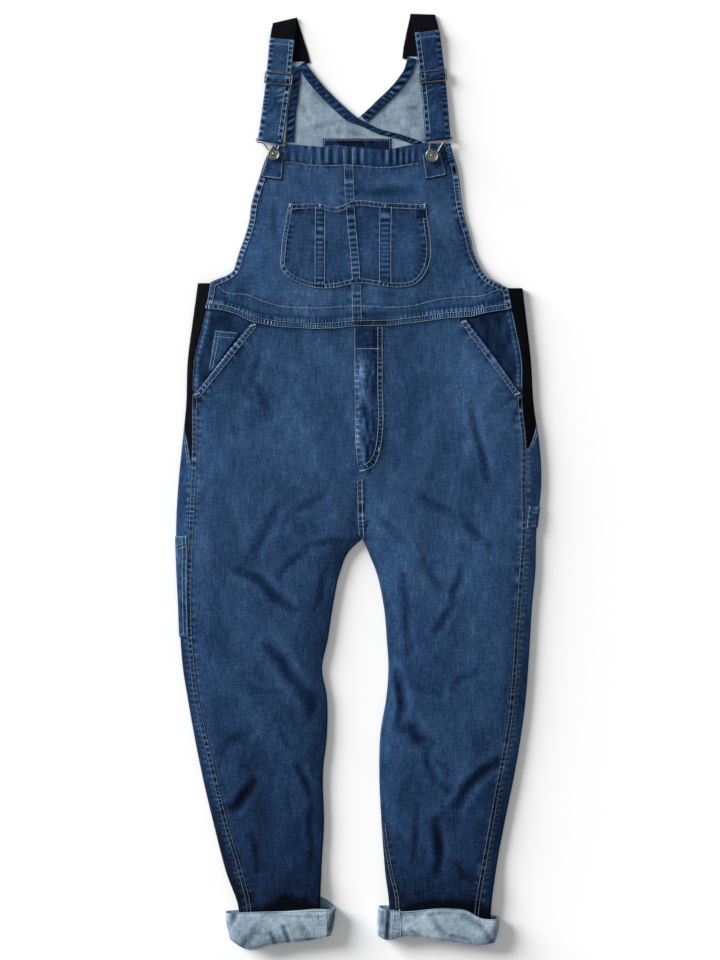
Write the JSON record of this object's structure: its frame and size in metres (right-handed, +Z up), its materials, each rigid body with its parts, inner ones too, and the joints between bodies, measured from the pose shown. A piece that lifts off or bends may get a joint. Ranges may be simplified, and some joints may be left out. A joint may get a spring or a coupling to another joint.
{
  "type": "denim bib overalls laid flat",
  "caption": "Denim bib overalls laid flat and face up, with strap hooks and buttons, elastic side gores, bib pocket and rolled cuffs.",
  "frame": {"origin": "centre of the garment's box on the surface it lies on", "axes": "+Y towards the shoulders, +Z up from the surface, +X to the wearer's left"},
  "size_m": [0.5866, 1.4966, 0.024],
  "materials": {
    "denim": "mid blue washed denim twill",
    "denim_reverse": "pale reverse side of the denim",
    "denim_dark": "unwashed dark denim",
    "elastic": "dark navy ribbed elastic",
    "metal": "dulled antique metal"
  },
  "bodies": {
    "root": {"front_leg_right": "denim", "front_leg_left": "denim", "back_leg_right": "denim", "back_leg_left": "denim", "hip_facing_right": "denim", "hip_facing_left": "denim", "coin_pocket": "denim", "fly": "denim", "bib_right": "denim", "bib_left": "denim", "bib_pocket": "denim", "button_tab_right": "denim", "button_tab_left": "denim", "strap_right": "denim", "strap_left": "denim", "tool_pocket": "denim", "hammer_loop": "denim", "back_bib": "denim_reverse", "yoke_right": "denim_reverse", "yoke_left": "denim_reverse", "cuff_right": "denim_reverse", "cuff_left": "denim_reverse", "neck_facing_right": "denim_dark", "neck_facing_left": "denim_dark", "arm_facing_right": "denim_dark", "back_patch": "denim_dark", "pocket_tab": "denim_dark", "gore_right": "elastic", "gore_left": "elastic", "elastic_right": "elastic", "elastic_left": "elastic", "slider_right": "metal", "slider_left": "metal", "hook_right": "metal", "hook_left": "metal", "button_right": "metal", "button_left": "metal"}
  },
  "joints": []
}
